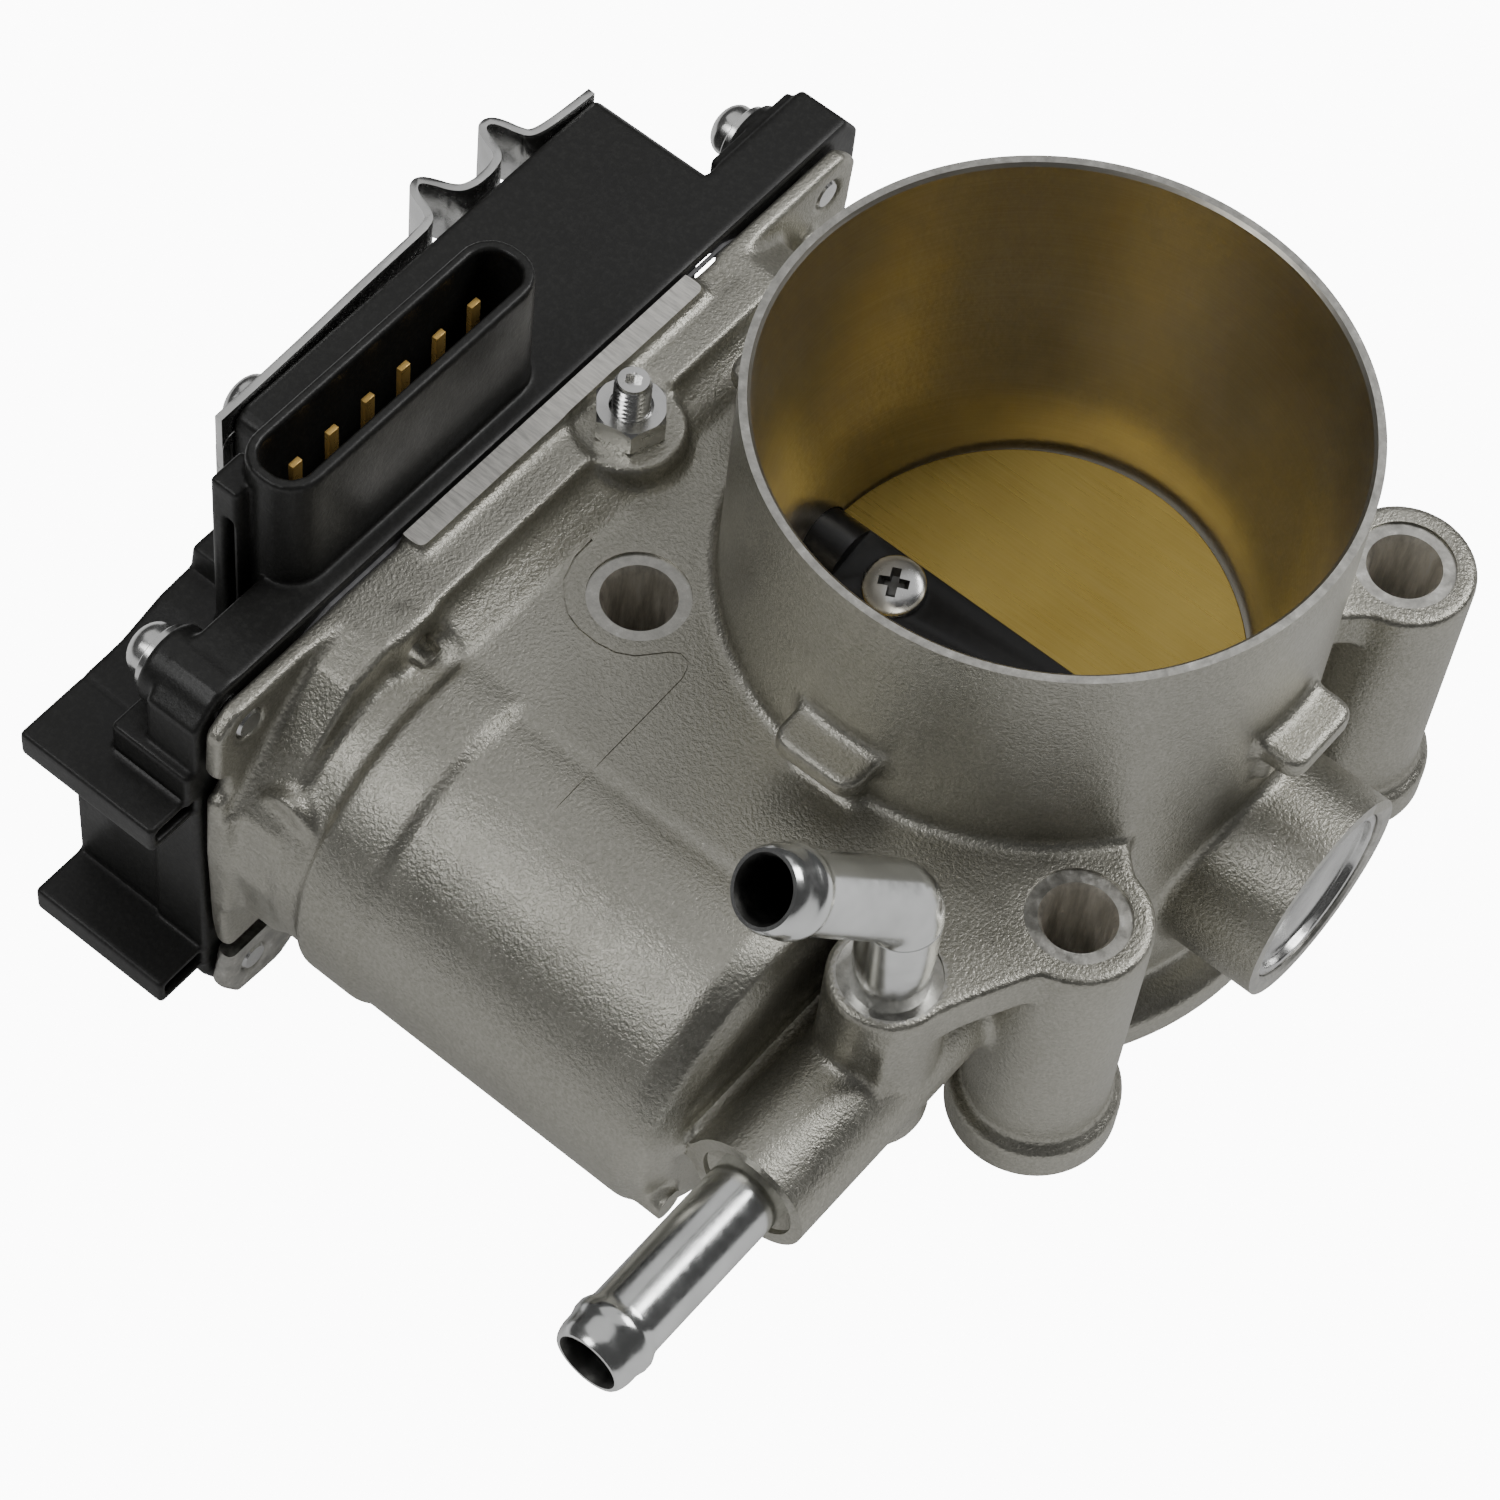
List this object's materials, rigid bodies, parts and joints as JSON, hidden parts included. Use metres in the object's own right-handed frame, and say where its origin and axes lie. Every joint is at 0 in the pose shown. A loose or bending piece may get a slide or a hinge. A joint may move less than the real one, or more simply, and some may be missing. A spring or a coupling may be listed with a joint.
{
  "type": "throttle body",
  "caption": "Electronic throttle body with cast bore housing, butterfly plate, drive motor and gear train under a plastic cover, and coolant pipes.",
  "frame": {"origin": "centre of the bore in the plane of the manifold face", "axes": "+Z along the bore towards the air inlet, +X along the throttle shaft towards the bearing boss (gear cover at -X), +Y away from the motor and coolant pipes"},
  "size_m": [0.1161, 0.1242, 0.0799],
  "materials": {
    "cast_aluminium": "sand cast, satin",
    "bearing_steel": "ground",
    "zinc_steel": "bright zinc plate",
    "plated_pipe": "bright plated",
    "black_shaft": "black oxide, satin",
    "brass_plate": "brushed",
    "black_plastic": "glass filled, matte",
    "gear_nylon": "moulded",
    "copper": "drawn",
    "gold_pin": "plated",
    "magnet": "sintered",
    "seal_rubber": "moulded",
    "sealant": "cured sealant",
    "circuit": "potted"
  },
  "bodies": {
    "body": {"housing": "cast_aluminium", "ball_bearing": "bearing_steel", "needle_bearing": "bearing_steel", "shaft_seals": "seal_rubber", "bearing_plug": "zinc_steel", "coolant_pipe_straight": "plated_pipe", "coolant_pipe_elbow": "plated_pipe", "stop_screw": "zinc_steel", "stop_nut": "zinc_steel", "return_spring": "bearing_steel", "intermediate_pin": "bearing_steel", "motor_case": "zinc_steel", "motor_magnets": "magnet", "motor_end_plate": "zinc_steel", "motor_screws": "zinc_steel", "motor_wave_washer": "bearing_steel", "motor_terminals": "copper", "gear_cover": "black_plastic", "cover_seal": "sealant", "cover_screws": "zinc_steel", "connector_pins": "gold_pin", "lead_frame": "copper", "position_sensor": "circuit", "cover_spring_plate": "zinc_steel", "plate_clip_screws": "zinc_steel", "motor_bushes": "copper", "motor_brushes": "magnet"},
    "throttle": {"throttle_shaft": "black_shaft", "throttle_plate": "brass_plate", "plate_screws": "zinc_steel", "sector_gear": "gear_nylon", "sensor_magnet": "magnet"},
    "intermediate": {"intermediate_gear": "gear_nylon"},
    "rotor": {"motor_shaft": "bearing_steel", "motor_armature": "copper", "motor_commutator": "copper", "motor_pinion": "gold_pin"}
  },
  "joints": [
    {"name": "throttle_turn", "type": "hinge", "parent": "body", "child": "throttle", "pos_m": [0, 0, 0.02], "axis": [1, 0, 0], "range_deg": [-8.5, 75.5]},
    {"name": "intermediate_turn", "type": "hinge", "parent": "body", "child": "intermediate", "pos_m": [-0.05, -0.02612, 0.01614], "axis": [1, 0, 0], "range_deg": [-205, 25]},
    {"name": "rotor_turn", "type": "hinge", "parent": "body", "child": "rotor", "pos_m": [0, -0.0495, 0.017], "axis": [1, 0, 0], "range_deg": [-120, 1010]}
  ],
  "couplings": [
    {"joint": "intermediate_turn", "follows": "throttle_turn", "ratio": -2.6667},
    {"joint": "rotor_turn", "follows": "throttle_turn", "ratio": 13.333}
  ]
}
